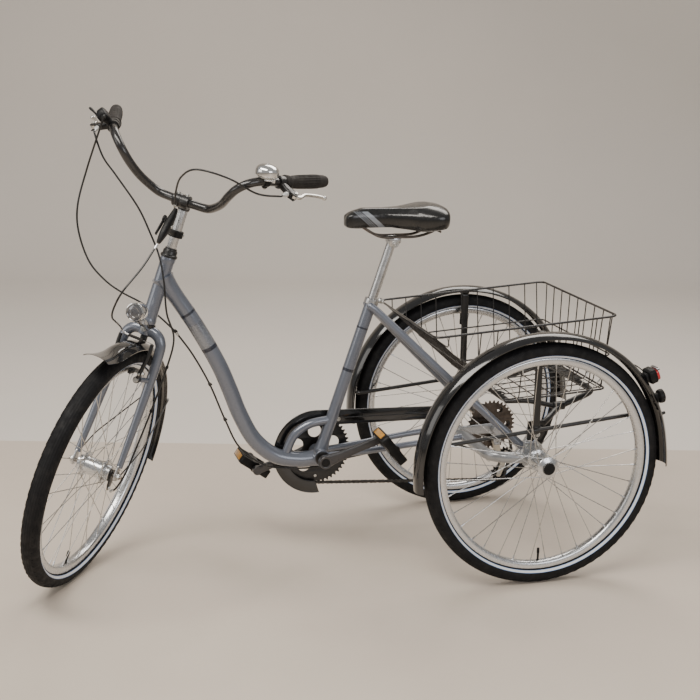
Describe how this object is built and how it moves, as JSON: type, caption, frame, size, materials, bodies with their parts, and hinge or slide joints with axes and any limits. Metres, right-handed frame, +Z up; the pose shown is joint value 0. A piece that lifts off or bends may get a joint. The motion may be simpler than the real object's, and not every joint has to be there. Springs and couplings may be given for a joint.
{
  "type": "adult tricycle",
  "caption": "Adult tricycle with a low step-through frame, swept handlebar, rear wire basket, chain drive to one rear wheel and front brakes.",
  "frame": {"origin": "middle of the box around the parked tricycle, on the ground", "axes": "+Z up, -Y the way the rider faces, +X the rider's left"},
  "size_m": [0.7286, 1.6801, 1.2262],
  "materials": {
    "frame_paint": "silver-grey metallic lacquer",
    "gloss_black": "glossy black",
    "satin_black": "satin black",
    "black_plastic": "matt black",
    "grip_rubber": "matt",
    "tyre_rubber": "matt with a pale line",
    "alloy": "brushed",
    "chrome": "polished",
    "steel": "oiled",
    "saddle_cover": "glossy black with grey side stripes"
  },
  "bodies": {
    "frame": {"head_tube": "frame_paint", "main_tube": "frame_paint", "seat_tube": "frame_paint", "bottom_bracket_shell": "frame_paint", "loop_tube": "frame_paint", "seat_stay_left": "frame_paint", "seat_stay_right": "frame_paint", "chain_stay_left": "frame_paint", "chain_stay_right": "frame_paint", "rear_subframe": "frame_paint", "rear_carrier": "satin_black", "basket": "satin_black", "fender_left": "gloss_black", "fender_right": "gloss_black", "fender_stay_left": "satin_black", "fender_stay_right": "satin_black", "chain_guard": "black_plastic", "chain": "steel", "rear_lamp": "black_plastic", "shift_cable": "black_plastic", "shift_cable_loop": "black_plastic"},
    "steering": {"fork": "frame_paint", "stem": "alloy", "handlebar": "gloss_black", "grip_left": "grip_rubber", "grip_right": "grip_rubber", "brake_perch_left": "black_plastic", "brake_perch_right": "black_plastic", "shifter": "black_plastic", "bell": "chrome", "front_fender": "gloss_black", "headset": "satin_black", "parking_brake": "black_plastic", "brake_cable_upper": "black_plastic", "brake_cable_lower": "black_plastic", "hub_brake_cable": "black_plastic"},
    "front_wheel": {"wheel_front": "alloy", "tyre_front": "tyre_rubber"},
    "rear_wheel_left": {"wheel_rear_left": "alloy", "tyre_rear_left": "tyre_rubber"},
    "rear_wheel_right": {"wheel_rear_right": "alloy", "tyre_rear_right": "tyre_rubber", "drive_axle": "steel"},
    "headlamp": {"headlamp": "chrome"},
    "brake_lever_left": {"brake_lever_left": "alloy"},
    "brake_lever_right": {"brake_lever_right": "alloy"},
    "v_brake_arm_left": {"v_brake_arm_left": "satin_black"},
    "v_brake_arm_right": {"v_brake_arm_right": "satin_black"},
    "bell_lever": {"bell_lever": "black_plastic"},
    "shift_lever": {"shift_lever": "black_plastic"},
    "parking_lever": {"parking_lever": "black_plastic"},
    "hub_brake_arm": {"hub_brake_arm": "satin_black"},
    "crank": {"crank_set": "satin_black", "chainring": "satin_black"},
    "pedal_left": {"pedal_left": "black_plastic"},
    "pedal_right": {"pedal_right": "black_plastic"},
    "freewheel": {"freewheel": "steel"},
    "derailleur": {"derailleur": "alloy"},
    "seat": {"seat_post": "alloy", "saddle": "saddle_cover"}
  },
  "joints": [
    {"name": "steering_turn", "type": "hinge", "parent": "frame", "child": "steering", "pos_m": [0, -0.6147, 0.3069], "axis": [0, 0.3156, 0.9489], "range_deg": [-118, 1], "deforming": ["shift_cable_loop"]},
    {"name": "front_wheel_spin", "type": "hinge", "parent": "steering", "child": "front_wheel", "pos_m": [0.04362, -0.63977, 0.31524], "axis": [0.518, 0.8116, -0.27], "continuous": true},
    {"name": "rear_wheel_left_spin", "type": "hinge", "parent": "frame", "child": "rear_wheel_left", "pos_m": [0.3173, 0.488, 0.3265], "axis": [1, 0, 0], "continuous": true},
    {"name": "rear_wheel_right_spin", "type": "hinge", "parent": "frame", "child": "rear_wheel_right", "pos_m": [-0.3173, 0.488, 0.3265], "axis": [1, 0, 0], "continuous": true},
    {"name": "crank_spin", "type": "hinge", "parent": "frame", "child": "crank", "pos_m": [0, -0.032, 0.29], "axis": [1, 0, 0], "continuous": true},
    {"name": "freewheel_spin", "type": "hinge", "parent": "frame", "child": "freewheel", "pos_m": [0, 0.488, 0.3265], "axis": [1, 0, 0], "continuous": true},
    {"name": "pedal_left_spin", "type": "hinge", "parent": "crank", "child": "pedal_left", "pos_m": [0.135, 0.12685, 0.3447], "axis": [1, 0, 0], "continuous": true},
    {"name": "pedal_right_spin", "type": "hinge", "parent": "crank", "child": "pedal_right", "pos_m": [-0.135, -0.19085, 0.2353], "axis": [1, 0, 0], "continuous": true},
    {"name": "derailleur_swing", "type": "hinge", "parent": "frame", "child": "derailleur", "pos_m": [-0.018, 0.493, 0.2845], "axis": [1, 0, 0], "range_deg": [-20, 0], "stiffness_Nm_per_rad": 2, "springref_deg": 17.19, "deforming": ["chain"]},
    {"name": "seat_height", "type": "slide", "parent": "frame", "child": "seat", "axis": [0, 0.3182, 0.948], "range_m": [-0.12, 0.06]},
    {"name": "headlamp_tilt", "type": "hinge", "parent": "steering", "child": "headlamp", "pos_m": [0.04277, -0.51239, 0.69652], "axis": [0.518, 0.8116, -0.27], "range_deg": [-12, 12]},
    {"name": "brake_lever_left_pull", "type": "hinge", "parent": "steering", "child": "brake_lever_left", "pos_m": [0.17873, -0.14662, 1.02239], "axis": [0.503, 0.3703, 0.7809], "range_deg": [0, 16], "stiffness_Nm_per_rad": 1, "springref_deg": -20.05},
    {"name": "brake_lever_right_pull", "type": "hinge", "parent": "steering", "child": "brake_lever_right", "pos_m": [-0.11066, -0.60003, 1.17322], "axis": [-0.1401, 0.1983, -0.9701], "range_deg": [0, 16], "stiffness_Nm_per_rad": 1, "springref_deg": -20.05},
    {"name": "v_brake_left_close", "type": "hinge", "parent": "steering", "child": "v_brake_arm_left", "pos_m": [0.05679, -0.52857, 0.54699], "axis": [0.8554, -0.4915, 0.1635], "range_deg": [0, 3.2]},
    {"name": "v_brake_right_close", "type": "hinge", "parent": "steering", "child": "v_brake_arm_right", "pos_m": [0.02105, -0.58458, 0.56562], "axis": [-0.8554, 0.4915, -0.1635], "range_deg": [0, 3.2]},
    {"name": "hub_brake_pull", "type": "hinge", "parent": "steering", "child": "hub_brake_arm", "pos_m": [0.06952, -0.59919, 0.30174], "axis": [0.518, 0.8116, -0.27], "range_deg": [0, 12]},
    {"name": "bell_ring", "type": "hinge", "parent": "steering", "child": "bell_lever", "pos_m": [0.20533, -0.20533, 1.06307], "axis": [0.1152, 0.1556, 0.9811], "range_deg": [0, 25], "stiffness_Nm_per_rad": 0.2, "springref_deg": -17.19},
    {"name": "shift_select", "type": "hinge", "parent": "steering", "child": "shift_lever", "pos_m": [-0.06582, -0.5881, 1.19889], "axis": [0.2239, 0.7622, 0.6074], "range_deg": [0, 60]},
    {"name": "parking_lock", "type": "hinge", "parent": "steering", "child": "parking_lever", "pos_m": [0.04578, -0.44569, 0.95467], "axis": [0.518, 0.8116, -0.27], "range_deg": [0, 22]}
  ],
  "couplings": [
    {"joint": "freewheel_spin", "follows": "crank_spin", "ratio": 1.7143},
    {"joint": "v_brake_left_close", "follows": "brake_lever_left_pull", "ratio": 0.1875},
    {"joint": "v_brake_right_close", "follows": "brake_lever_left_pull", "ratio": 0.1875},
    {"joint": "hub_brake_pull", "follows": "brake_lever_right_pull", "ratio": 0.7}
  ]
}
